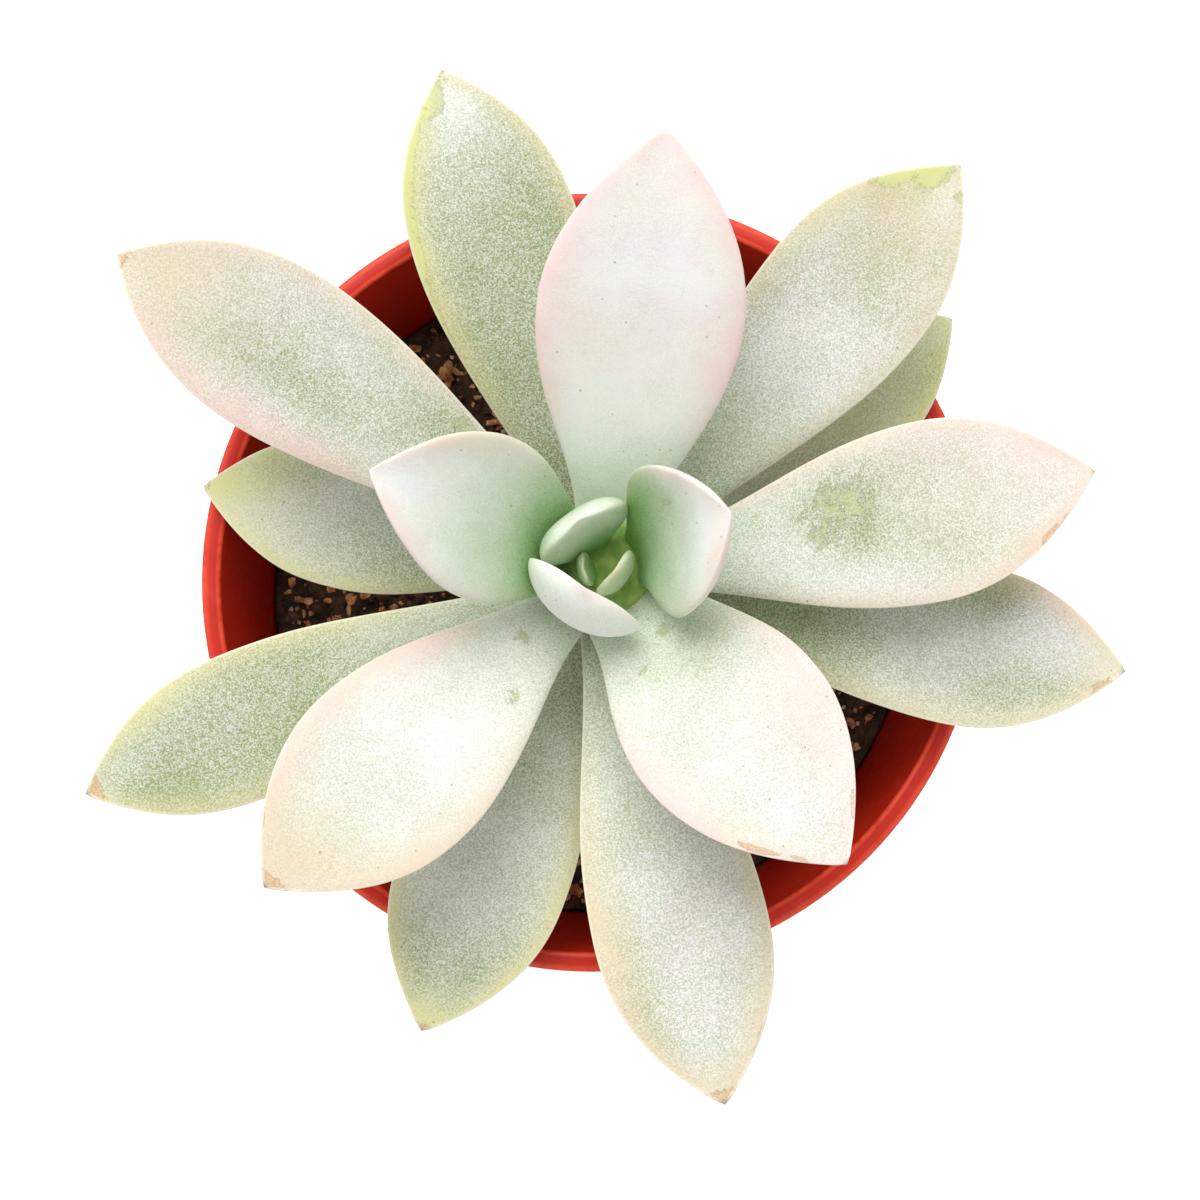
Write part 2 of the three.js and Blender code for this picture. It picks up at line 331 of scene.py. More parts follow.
band_bottom = POT_HEIGHT - RIM_BAND_HEIGHT
band_radius = RIM_RADIUS - RIM_BAND_TAPER
wall_top_radius = inner_radius(band_bottom) + WALL
foot_inside = BASE_RADIUS - FOOT_WIDTH
pot = turned(
    [
        (0, 0),
        (CENTRE_FOOT_RADIUS, 0),
        (CENTRE_FOOT_RADIUS, FLOOR_UNDERSIDE),
        (foot_inside, FLOOR_UNDERSIDE),
        (foot_inside, 0),
        (BASE_RADIUS, 0),
        (wall_top_radius, band_bottom),
        (band_radius, band_bottom),
        (RIM_RADIUS, POT_HEIGHT - 1 * MM),
        (RIM_RADIUS, POT_HEIGHT),
        (INNER_TOP_RADIUS, POT_HEIGHT),
        (INNER_FLOOR_RADIUS, FLOOR_TOP),
        (0, FLOOR_TOP),
    ],
    POT_STEPS,
)
round_over(pot, RIM_RADIUS, POT_HEIGHT, 0.75 * MM, segments=4)
for corner_radius, corner_height, rounding in [
    (INNER_TOP_RADIUS, POT_HEIGHT, 0.4 * MM),
    (band_radius, band_bottom, 0.35 * MM),
    (wall_top_radius, band_bottom, 0.3 * MM),
    (BASE_RADIUS, 0, 0.6 * MM),
    (foot_inside, 0, 0.4 * MM),
    (foot_inside, FLOOR_UNDERSIDE, 0.4 * MM),
    (CENTRE_FOOT_RADIUS, 0, 0.4 * MM),
    (INNER_FLOOR_RADIUS, FLOOR_TOP, 1.2 * MM),
]:
    round_over(pot, corner_radius, corner_height, rounding)

drills = bmesh.new()
for i in range(DRAIN_HOLES):
    angle = 2 * math.pi * i / DRAIN_HOLES
    across = Vector((math.cos(angle), math.sin(angle), 0)) * DRAIN_CIRCLE_RADIUS
    middle = across + Vector((0, 0, (FLOOR_UNDERSIDE + FLOOR_TOP) / 2))
    bmesh.ops.create_cone(
        drills,
        cap_ends=True,
        segments=DRAIN_HOLE_STEPS,
        radius1=DRAIN_HOLE_RADIUS,
        radius2=DRAIN_HOLE_RADIUS,
        depth=2 * (FLOOR_TOP - FLOOR_UNDERSIDE),
        matrix=Matrix.Translation(middle),
    )
drill = in_scene("drills", mesh_from("drills", drills))


def finished_mesh(blank, name):
    """The mesh of an object with its modifiers taken in. The object itself goes."""
    state = bpy.context.evaluated_depsgraph_get()
    seen = blank.evaluated_get(state)
    mesh = bpy.data.meshes.new_from_object(seen, preserve_all_data_layers=True, depsgraph=state)
    bpy.data.objects.remove(blank)
    mesh.name = name
    mesh.shade_smooth()
    return mesh


blank = in_scene("pot_blank", mesh_from("pot_blank", pot))
cut = blank.modifiers.new("drain_holes", "BOOLEAN")
cut.operation = "DIFFERENCE"
cut.object = drill
cut.solver = "EXACT"
pot_mesh = finished_mesh(blank, "pot_shell")
bpy.data.objects.remove(drill)
pot_mesh.set_sharp_from_angle(angle=math.radians(SHARP_ANGLE))
placed("pot_shell", pot_mesh, plastic, "pot_plastic", "pot")


# ---------------------------------------------------------------------------------------------
# Soil. Dark peat and fine bark, settled well below the rim: one lump of mix with a crumbly top,
# and over it loose crumbs of peat, orange-brown bark and a few pale grains of grit.
# ---------------------------------------------------------------------------------------------

SOIL_LOW, SOIL_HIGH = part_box("soil")
STEM_X, STEM_Y = 1.5 * MM, 0.7 * MM
SOIL_TOP = 62 * MM
SOIL_MOUND = 1.5 * MM
SOIL_GAP = 0.5 * MM  # between the foot of the soil and the pot's wall
SOIL_RINGS = 56
SOIL_STEPS = 180
CRUMB_BITE = 0.9 * MM  # how far the crumbly top goes up and down
CRUMB_BATCH = 50  # crumbs made in one mesh, which keeps the script quick
CRUMB_WALL_GAP = 0.6 * MM
DAMP_SHEEN = 0.15  # how much less rough the damp places are
PEAT_DARK = (0.012, 0.007, 0.004, 1)
PEAT_LIGHT = (0.11, 0.058, 0.027, 1)
PEAT_CRUMB_DARK = (0.014, 0.008, 0.005, 1)
PEAT_CRUMB_LIGHT = (0.16, 0.085, 0.04, 1)
BARK_CRUMB_DARK = (0.34, 0.10, 0.03, 1)
BARK_CRUMB_LIGHT = (1.0, 0.60, 0.25, 1)
GRIT_DARK = (0.40, 0.27, 0.18, 1)
GRIT_LIGHT = (0.90, 0.74, 0.58, 1)


def soil_height(x, y):
    """Height of the soil's surface: a low mound round the stem with rolling lumps and crumbs."""
    xm, ym = x / MM, y / MM
    away = math.hypot(x - STEM_X, y - STEM_Y) / INNER_TOP_RADIUS
    mound = SOIL_MOUND * max(0, 1 - away * away)
    lumps = 0.8 * math.sin(0.33 * xm + 1) * math.sin(0.37 * ym)
    lumps += 0.4 * math.sin(0.8 * xm) * math.sin(0.75 * ym + 2)
    crumbs = noise.fractal(Vector((xm * 0.45, ym * 0.45, 3.7)), 0.9, 2.1, 5)
    return SOIL_TOP + mound + lumps * MM + (crumbs - 0.35) * CRUMB_BITE


# Crumbly grain: two colours in coarse patches broken up by a fine grain, for soil, bark and cork,
# with damp places.
CRUMBLY, given, result = new_group(
    "crumbly_grain",
    {
        "Place": ("NodeSocketVector", None),
        "Dark": ("NodeSocketColor", (0, 0, 0, 1)),
        "Light": ("NodeSocketColor", (1, 1, 1, 1)),
        "Grain size": ("NodeSocketFloat", 0.001),
    },
    {"Colour": "NodeSocketColor", "Height": "NodeSocketFloat", "Dry": "NodeSocketFloat"},
)
patches = clouds(CRUMBLY, given["Place"], 2.5 * MM, detail=3)
grain = clouds(CRUMBLY, given["Place"], given["Grain size"], detail=5, roughness=0.7)
shade = calc(CRUMBLY, "MULTIPLY_ADD", grain, 0.5, calc(CRUMBLY, "MULTIPLY", patches, 0.6))
shade = eased(CRUMBLY, shade, 0.38, 0.72)
CRUMBLY.links.new(mixed(CRUMBLY, shade, given["Dark"], given["Light"]), result["Colour"])
CRUMBLY.links.new(grain, result["Height"])
dry = eased(CRUMBLY, clouds(CRUMBLY, given["Place"], 7 * MM), 0.4, 0.6)
CRUMBLY.links.new(dry, result["Dry"])


def crumbly(name, dark, light, grain_size, roughness, depth):
    """A rough, crumbly material between two colours. depth is how far its grain stands up."""
    material, tree, shader = new_material(name)
    place = object_place(tree)
    look = use_group(
        tree, CRUMBLY, {"Place": place, "Dark": dark, "Light": light, "Grain size": grain_size}
    )
    tree.links.new(look["Colour"], shader.inputs["Base Color"])
    rough = calc(tree, "MULTIPLY_ADD", look["Dry"], DAMP_SHEEN, roughness - DAMP_SHEEN)
    tree.links.new(rough, shader.inputs["Roughness"])
    bumped(tree, shader, look["Height"], depth)
    return material


peat = crumbly(
    "damp_peat", PEAT_DARK, PEAT_LIGHT, grain_size=0.7 * MM, roughness=0.95, depth=0.4 * MM
)

soil_edge = SOIL_HIGH.x
soil_foot = SOIL_LOW.z
foot_radius = inner_radius(soil_foot) - SOIL_GAP
outline = [(0, soil_foot), (foot_radius, soil_foot)]
outline += [(soil_edge * (1 - i / SOIL_RINGS), SOIL_TOP) for i in range(SOIL_RINGS)]
outline += [(0, SOIL_TOP)]
soil = turned(outline, SOIL_STEPS)
for v in soil.verts:
    if v.co.z > SOIL_TOP - 1e-6:
        v.co.z = soil_height(v.co.x, v.co.y)
smooth_piece("soil_body", soil, peat, "potting_mix", "soil")


crumb_depth = 0.15 * MM
crumb_peat = crumbly(
    "peat_crumb", PEAT_CRUMB_DARK, PEAT_CRUMB_LIGHT, 0.4 * MM, roughness=0.95, depth=crumb_depth
)
crumb_bark = crumbly(
    "bark_crumb", BARK_CRUMB_DARK, BARK_CRUMB_LIGHT, 0.5 * MM, roughness=0.9, depth=crumb_depth
)
crumb_grit = crumbly("grit", GRIT_DARK, GRIT_LIGHT, 0.4 * MM, roughness=0.8, depth=crumb_depth)


def crumbs(name, count, material, seed, smallest, largest, flatness, sunk):
    """Scatters angular crumbs over the soil. flatness is their height against their breadth. sunk
    runs from 0, lying on the soil, to 1, buried to the middle."""
    chance = random.Random(seed)
    heap = bmesh.new()
    mesh = bpy.data.meshes.new(name)
    for start in range(0, count, CRUMB_BATCH):
        bm = bmesh.new()
        for _ in range(start, min(start + CRUMB_BATCH, count)):
            angle = chance.uniform(0, 2 * math.pi)
            size = smallest + (largest - smallest) * chance.random() ** 2
            reach = (soil_edge - size - CRUMB_WALL_GAP) * math.sqrt(chance.uniform(0.03, 1))
            x, y = reach * math.cos(angle), reach * math.sin(angle)
            made = bmesh.ops.create_icosphere(bm, subdivisions=1, radius=size)["verts"]
            for v in made:
                v.co *= chance.uniform(0.5, 1.3)
            turn = Matrix.Rotation(chance.uniform(0, 2 * math.pi), 4, "Z")
            tip = Matrix.Rotation(chance.uniform(-0.6, 0.6), 4, "X")
            stretch = Matrix.Diagonal((1, chance.uniform(0.45, 0.9), flatness, 1))
            lift = Matrix.Translation((x, y, soil_height(x, y) - (sunk - 1) * size * flatness))
            bmesh.ops.transform(bm, matrix=lift @ turn @ tip @ stretch, verts=made)
        bm.to_mesh(mesh)
        bm.free()
        heap.from_mesh(mesh)
    heap.to_mesh(mesh)
    heap.free()
    mesh.shade_flat()
    placed(name, mesh, material, "potting_mix")


crumbs("peat_crumbs", 2200, crumb_peat, 11, 0.35 * MM, 1.3 * MM, flatness=0.7, sunk=0.7)
crumbs("bark_crumbs", 3200, crumb_bark, 23, 0.3 * MM, 1.15 * MM, flatness=0.5, sunk=0.4)
crumbs("grit_grains", 260, crumb_grit, 37, 0.25 * MM, 0.7 * MM, flatness=0.7, sunk=0.5)


# ---------------------------------------------------------------------------------------------
# Bark chips. Larger loose bits of composted bark and clods of peat that lie on the soil. Each is
# a blocky broken lump with a crumbly grain and rounded corners.
# ---------------------------------------------------------------------------------------------

CHIPS = 12
CHIP_BLOCKINESS = 0.75  # 1 is egg-shaped, and less is more like a block
CHIP_DARK = (0.07, 0.03, 0.014, 1)
CHIP_LIGHT = (0.46, 0.21, 0.09, 1)

chip_bark = crumbly(
    "chip_bark", CHIP_DARK, CHIP_LIGHT, grain_size=0.7 * MM, roughness=0.95, depth=0.2 * MM
)

for i in range(CHIPS):
    name = f"bark_chip_{i + 1:02d}"
    low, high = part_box(name)
    middle, half = (low + high) / 2, (high - low) / 2
    bm = bmesh.new()
    bmesh.ops.create_icosphere(bm, subdivisions=4, radius=1)
    for v in bm.verts:
        rough = noise.fractal(v.co * 1.3 + Vector((i * 7.1, 0, 0)), 0.8, 2.2, 5)
        blocky = Vector([math.copysign(abs(c) ** CHIP_BLOCKINESS, c) for c in v.co])
        v.co = blocky * (0.86 + 0.12 * rough) * half + middle
    smooth_piece(name + "_bark", bm, chip_bark, "bark_chip", name)


# ---------------------------------------------------------------------------------------------
# Stem. The plant's short trunk: brown, corky and ringed with old leaf scars at the soil, green
# and smooth where the leaves join it.
# ---------------------------------------------------------------------------------------------

STEM_GREEN_FROM = 80 * MM  # the cork ends from here up
STEM_CORK_FADE = 8 * MM
STEM_CORE = 3 * MM  # scars and bumps are only outside this radius
STEM_STEPS = 60
STEM_RING = 0.65 * MM
SCAR_SPACING = 2.6 * MM
SCAR_LEAN = 3  # how often the scars wind round
SCAR_DEPTH = 0.16 * MM
BARK_BUMP = 0.2 * MM
BARK_BUMP_SIZE = 1.5 * MM
BARK_SHRINK = 0.25 * MM
CORK_DARK = (0.10, 0.065, 0.035, 1)
CORK_LIGHT = (0.34, 0.27, 0.16, 1)
CROWN_DEEP = (0.18, 0.32, 0.055, 1)
CROWN_LIGHT = (0.36, 0.50, 0.12, 1)

corky_stem, tree, shader = new_material("corky_stem", Roughness=0.8)
place = object_place(tree)
height = node(tree, "ShaderNodeSeparateXYZ", {"Vector": place}).outputs["Z"]
cork = use_group(
    tree, CRUMBLY, {"Place": place, "Dark": CORK_DARK, "Light": CORK_LIGHT, "Grain size": 1.6 * MM}
)
folds = eased(tree, clouds(tree, place, 2.6 * MM, detail=2, warp=0.3), 0.35, 0.65)
crown = mixed(tree, folds, CROWN_DEEP, CROWN_LIGHT)
green = eased(tree, height, STEM_GREEN_FROM, STEM_GREEN_FROM + 9 * MM)
tree.links.new(mixed(tree, green, cork["Colour"], crown), shader.inputs["Base Color"])
bumped(tree, shader, cork["Height"], 0.3 * MM)

STEM_PROFILE = [
    # (height, radius) in mm; it ends in the fused bases of the youngest leaves
    (44, 3.5),
    (54, 4.6),
    (62, 5.2),
    (70, 4.8),
    (77, 5.4),
    (87, 6.0),
    (91, 6.4),
    (93.0, 5.9),
    (94.2, 4.6),
    (95.0, 3.0),
    (95.5, 1.6),
    (95.8, 0.8),
]
heights, radii = (np.array(column) * MM for column in zip(*STEM_PROFILE))
ring_count = round((heights[-1] - heights[0]) / STEM_RING)
outline = [(0, heights[0])]
for level in np.linspace(heights[0], heights[-1], ring_count):
    outline.append((np.interp(level, heights, radii), level))
outline.append((0, heights[-1] + 0.1 * MM))
stem = turned(outline, STEM_STEPS)
for v in stem.verts:
    out = Vector((v.co.x, v.co.y, 0))
    if out.length > STEM_CORE:
        woody = (STEM_GREEN_FROM + STEM_CORK_FADE - v.co.z) / STEM_CORK_FADE
        woody = min(max(woody, 0), 1)
        turn = math.atan2(out.y, out.x)
        scar = SCAR_DEPTH * math.sin(2 * math.pi * v.co.z / SCAR_SPACING + SCAR_LEAN * turn)
        bump = BARK_BUMP * noise.noise(v.co / BARK_BUMP_SIZE)
        v.co += out.normalized() * woody * (scar + bump - BARK_SHRINK)
bmesh.ops.translate(stem, verts=stem.verts, vec=(STEM_X, STEM_Y, 0))
smooth_piece("stem_trunk", stem, corky_stem, "stem_bark", "stem")


# ---------------------------------------------------------------------------------------------
# Leaves. Thick, fleshy, cupped leaves under a coat of pale wax powder, which is thin on the old
# outer ones and near every base, and rubbed off in places down to the yellow-green skin. On some
# leaves the thin wax is also painted shade: in the hollows of the youngest leaves, and where one
# leaf shades another. Their margins are thin, and flushed pink or cream, and the tips and edges
# carry tan corky marks.
# ---------------------------------------------------------------------------------------------

LEAF_AROUND = 14
LEAF_ALONG = 14
LEAF_DETAIL = 3
PLUMPNESS = 0.6  # how much thicker the margins of the youngest leaves are
MARGIN_RIPPLE = 0.05  # living margins aren't quite even: a share of the leaf's half width
BLADE_WAVE = 0.5 * MM
MARGIN_CREASE = 0.45
FRESH_CREASE_LOSS = 0.3
FOOT_CREASE = 0.5
TIP_CREASE = 0.4
MUCRO = 0.2 * MM  # the little point at a leaf's tip
MUCRO_REACH = 1.1 * MM
MARGIN_TINT = 2.0  # mm, how far a margin's colour reaches in


def look(powder, fresh=0, lilac=0.3, pink=0, straw=0, yellow=0, reach=1, marks=()):
    """How one leaf has grown and worn. powder is the thickness of its wax at base, middle and tip.
    fresh is how young it is. lilac, pink, straw and yellow are tints. All run from 0 to 1. reach
    is how far in the margin's tints go, against the usual. A mark is a kind, its place along the
    leaf and across it (from -1 to 1, left is 1), its length and breadth, and its strength."""
    return {
        "powder": powder,
        "fresh": fresh,
        "lilac": lilac,
        "pink": pink,
        "straw": straw,
        "yellow": yellow,
        "reach": reach,
        "marks": marks,
    }


# Oldest leaf first.
LEAF_LOOKS = [
    look(
        (0.36, 0.62, 0.92),
        yellow=0.9,
        marks=[
            ("yellow", 0.93, -0.3, 0.14, 1.0, 0.9),
            ("thin", 0.80, -0.6, 0.12, 0.3, 0.3),
            ("thin", 0.35, 0.6, 0.2, 0.4, 0.2),
            ("cork", 1.0, 0.0, 0.02, 0.6, 0.8),
        ],
    ),
    look(
        (0.52, 0.62, 0.84),
        yellow=1.0,
        reach=1.4,
        marks=[
            ("thin", 0.75, 0.3, 0.2, 0.6, 0.25),
            ("thin", 0.9, -0.8, 0.1, 0.4, 0.3),
            ("yellow", 0.75, 0.0, 0.35, 1.2, 0.5),
        ],
    ),
    look(
        (0.26, 0.64, 0.76),
        straw=0.3,
        yellow=0.9,
        marks=[
            ("thin", 0.85, 0.5, 0.14, 0.5, 0.3),
            ("thin", 0.86, -0.6, 0.10, 0.4, 0.35),
            ("yellow", 0.97, 0.0, 0.06, 0.8, 0.6),
            ("cork", 1.0, 0.0, 0.02, 0.6, 0.8),
        ],
    ),
    look(
        (0.30, 0.34, 0.58),
        straw=0.45,
        yellow=0.35,
        marks=[
            ("yellow", 0.95, 0.9, 0.12, 0.3, 1.0),
            ("yellow", 0.7, 1.0, 0.25, 0.2, 1.0),
            ("rub", 0.98, 0.55, 0.07, 0.5, 1.0),
            ("rub", 0.86, 0.97, 0.12, 0.16, 1.0),
            ("rub", 0.70, 0.98, 0.14, 0.11, 1.0),
            ("rub", 0.54, 1.0, 0.12, 0.07, 0.9),
            ("thick", 0.92, -0.1, 0.09, 0.6, 0.3),
            ("thin", 0.62, -0.7, 0.2, 0.4, 0.15),
            ("cork", 1.0, 0.3, 0.02, 0.5, 0.8),
        ],
    ),
    # leaf_05: the low wax at its base and the thinner band across it are thin wax and painted
    # shadow, the shadow that leaf_10 casts on it
    look(
        (0.14, 0.70, 0.86),
        lilac=0.5,
        straw=0.6,
        yellow=0.3,
        marks=[
            ("thin", 0.36, 0.0, 0.14, 1.2, 0.32),
            ("thin", 0.72, 0.75, 0.06, 0.3, 0.5),
            ("thin", 0.60, 0.7, 0.07, 0.3, 0.35),
            ("thin", 0.82, -0.6, 0.16, 0.4, 0.4),
            ("pink", 0.85, 0.9, 0.08, 0.2, 0.5),
            ("straw", 0.96, 0.0, 0.05, 1.0, 0.6),
            ("cork", 0.97, -0.7, 0.035, 0.5, 1.0),
        ],
    ),
    look(
        (0.66, 0.26, 0.6),
        lilac=0.5,
        straw=0.45,
        yellow=0.5,
        marks=[
            ("thick", 0.35, -0.5, 0.15, 0.5, 0.25),
            ("thin", 0.55, 0.5, 0.2, 0.5, 0.15),
            ("yellow", 0.84, -0.95, 0.1, 0.25, 0.8),
            ("thin", 0.88, 0.6, 0.1, 0.4, 0.3),
            ("cork", 0.99, 0.0, 0.025, 0.7, 1.0),
        ],
    ),
    look(
        (0.38, 0.72, 0.48),
        lilac=0.8,
        straw=0.55,
        marks=[
            ("yellow", 0.96, 0.6, 0.08, 0.5, 1.0),
            ("straw", 0.86, 0.0, 0.13, 1.2, 0.5),
            ("rub", 0.96, 0.45, 0.05, 0.45, 1.0),
            ("rub", 0.90, 0.85, 0.05, 0.22, 0.95),
            ("thick", 0.92, -0.3, 0.05, 0.4, 0.3),
            ("rub", 0.95, -0.5, 0.015, 0.2, 0.8),
            ("yellow", 0.8, 0.95, 0.12, 0.2, 0.5),
            ("thin", 0.78, 0.0, 0.1, 0.6, 0.2),
            ("thin", 0.5, 0.8, 0.15, 0.25, 0.2),
        ],
    ),
    look(
        (0.50, 0.60, 0.72),
        lilac=0.8,
        straw=0.7,
        marks=[
            ("straw", 0.68, -0.95, 0.16, 0.3, 0.9),
            ("straw", 0.92, 0.9, 0.12, 0.3, 0.8),
            ("straw", 0.97, 0.0, 0.05, 1.0, 0.7),
            ("thin", 0.78, -0.75, 0.1, 0.3, 0.3),
            ("lilac", 0.72, 0.2, 0.15, 0.6, 0.7),
            ("cork", 0.99, 0.0, 0.02, 0.8, 1.0),
            ("cork", 0.9, 0.98, 0.05, 0.08, 0.8),
        ],
    ),
    look(
        (0.80, 0.62, 0.56),
        lilac=0.8,
        pink=0.3,
        straw=0.5,
        marks=[
            ("rub", 0.28, -0.7, 0.05, 0.25, 0.8),
            ("thin", 0.34, -0.5, 0.10, 0.4, 0.25),
            ("pink", 0.65, 0.95, 0.2, 0.3, 0.7),
            ("straw", 0.90, -0.2, 0.12, 1.2, 0.7),
            ("thin", 0.62, 0.2, 0.18, 0.35, 0.2),
            ("lilac", 0.75, 0.1, 0.12, 0.6, 0.7),
            ("cork", 1.0, 0.2, 0.02, 0.6, 1.0),
        ],
    ),
    look(
        (0.62, 0.82, 0.86),
        lilac=0.5,
        pink=0.35,
        straw=0.5,
        marks=[
            ("rub", 0.46, 0.32, 0.11, 0.45, 0.66),
            ("rub", 0.42, 0.0, 0.07, 0.35, 0.58),
            ("straw", 0.75, 0.1, 0.2, 0.7, 0.25),
            ("pink", 0.72, 0.75, 0.1, 0.4, 0.3),
            ("thin", 0.45, 0.25, 0.10, 0.45, 0.3),
            ("thin", 0.50, -0.1, 0.04, 0.25, 0.3),
            ("thin", 0.68, -0.35, 0.14, 0.5, 0.3),
            ("thin", 0.62, 0.55, 0.12, 0.3, 0.25),
            ("pink", 0.93, 0.3, 0.10, 1.2, 0.45),
            ("pink", 0.30, 0.97, 0.1, 0.2, 0.5),
            ("straw", 0.88, -0.95, 0.12, 0.25, 0.8),
            ("cork", 0.95, -0.96, 0.06, 0.09, 0.95),
            ("cork", 0.88, -0.93, 0.03, 0.10, 0.85),
        ],
    ),
    look(
        (0.70, 0.88, 0.46),
        fresh=0.2,
        lilac=0.5,
        pink=0.25,
        straw=0.6,
        reach=1.6,
        marks=[
            ("pink", 0.36, -0.95, 0.10, 0.3, 0.9),
            ("pink", 0.72, -0.97, 0.12, 0.2, 0.5),
            ("straw", 0.90, 0.0, 0.11, 1.2, 0.75),
            ("straw", 0.72, 0.97, 0.14, 0.25, 0.6),
            ("rub", 0.17, -0.15, 0.035, 0.28, 0.62),
            ("rub", 0.30, 0.45, 0.03, 0.2, 0.58),
            ("cork", 0.985, 0.2, 0.02, 0.6, 1.0),
            ("cork", 0.90, -0.97, 0.03, 0.06, 0.8),
        ],
    ),
    look(
        (0.95, 0.97, 0.95),
        fresh=0.8,
        lilac=0.5,
        pink=0.85,
        marks=[
            ("pink", 0.52, 0.2, 0.09, 0.8, 0.35),
            ("pink", 0.90, 0.0, 0.14, 1.2, 0.4),
            ("pink", 0.58, 0.95, 0.16, 0.3, 0.8),
            ("pink", 0.52, -0.95, 0.12, 0.3, 0.9),
            ("lilac", 0.66, -0.4, 0.2, 0.6, 0.4),
            ("straw", 0.85, -0.9, 0.10, 0.3, 0.4),
            ("straw", 0.40, 0.95, 0.08, 0.3, 0.3),
        ],
    ),
    look(
        (0.72, 0.72, 0.76),
        fresh=0.3,
        lilac=0.7,
        pink=0.55,
        reach=1.3,
        marks=[
            ("pink", 0.66, 0.75, 0.16, 0.4, 0.75),
            ("pink", 0.55, -0.97, 0.14, 0.2, 0.9),
            ("pink", 0.45, 0.97, 0.14, 0.15, 0.5),
            ("lilac", 0.82, 0.3, 0.12, 0.5, 0.8),
            ("straw", 0.80, -0.88, 0.12, 0.25, 0.5),
            ("rub", 0.17, 0.15, 0.035, 0.25, 0.62),
            ("rub", 0.25, -0.35, 0.03, 0.2, 0.58),
            ("thin", 0.28, 0.4, 0.12, 0.5, 0.15),
            ("cork", 0.84, -0.90, 0.05, 0.07, 0.93),
            ("cork", 0.93, -0.86, 0.04, 0.09, 0.88),
            ("cork", 0.90, 0.94, 0.05, 0.05, 0.85),
        ],
    ),
    # leaf_14: the bare base and the thinner patch low on its left are thin wax and painted shade
    # in its hollow
    look(
        (0.02, 0.72, 0.92),
        fresh=1.0,
        lilac=0.6,
        pink=0.4,
        marks=[
            ("thin", 0.25, 0.3, 0.25, 0.8, 0.3),
            ("pink", 0.9, 0.9, 0.12, 0.3, 0.8),
            ("straw", 0.75, -0.95, 0.2, 0.25, 0.6),
            ("lilac", 0.8, 0.3, 0.2, 0.5, 0.3),
        ],
    ),
    # leaf_15: the bare base and the thinner left half, beyond its crease, are thin wax and painted
    # shade
    look(
        (0.0, 0.48, 1.0),
        fresh=1.0,
        lilac=0.5,
        pink=0.35,
        marks=[
            ("thin", 0.4, 0.7, 0.3, 0.45, 0.35),
            ("thick", 0.95, -0.1, 0.3, 1.0, 0.35),
            ("rub", 0.62, 0.45, 0.05, 0.12, 0.62),
            ("pink", 0.8, 0.95, 0.12, 0.2, 0.6),
            ("pink", 0.98, -0.2, 0.08, 1.0, 0.6),
            ("straw", 0.86, -0.8, 0.12, 0.3, 0.5),
        ],
    ),
    look((0.6, 0.98, 1.0), fresh=0.7, pink=0.1, straw=0.1, marks=[("pink", 1, 0, 0.05, 1, 0.8)]),
    # leaf_17: the bare base and low wax over its face are thin wax and painted shade deep in the
    # centre
    look((0.0, 0.34, 0.80), fresh=1.0, marks=[("straw", 0.92, 0.2, 0.04, 0.2, 0.5)]),
    look((0.0, 0.30, 0.6), fresh=1.0, yellow=0.3, marks=[("straw", 1.0, 0.0, 0.06, 1.0, 0.8)]),
    look((0.0, 0.16, 0.4), fresh=1.0, yellow=0.2),
]

OLD_SKIN = (0.27, 0.33, 0.13, 1)
FRESH_SKIN = (0.19, 0.38, 0.09, 1)
POWDER_WHITE = (0.83, 0.86, 0.80, 1)
POWDER_FRESH = (0.87, 0.92, 0.84, 1)
POWDER_LILAC = (0.84, 0.76, 0.84, 1)
PINK_FLUSH = (0.88, 0.60, 0.58, 1)
STRAW = (0.73, 0.60, 0.40, 1)
YELLOW_GREEN = (0.72, 0.71, 0.29, 1)
RUBBED_SKIN = (0.46, 0.51, 0.23, 1)
RUBBED_PALE = (0.56, 0.60, 0.38, 1)
RUBBED_YELLOW = (0.66, 0.68, 0.28, 1)
CORK_TAN = (0.72, 0.47, 0.25, 1)
CORK_BROWN = (0.45, 0.25, 0.11, 1)
PIT_GREEN = (0.16, 0.20, 0.09, 1)
RIM_CREAM = (0.86, 0.85, 0.66, 1)
RIM_PINK = (0.95, 0.75, 0.70, 1)
SPECKLE_SIZE = 0.23 * MM
GRAIN_SIZE = 0.17 * MM
PIT_SPACING = 1.4 * MM
SKIN_DEPTH = 0.05 * MM


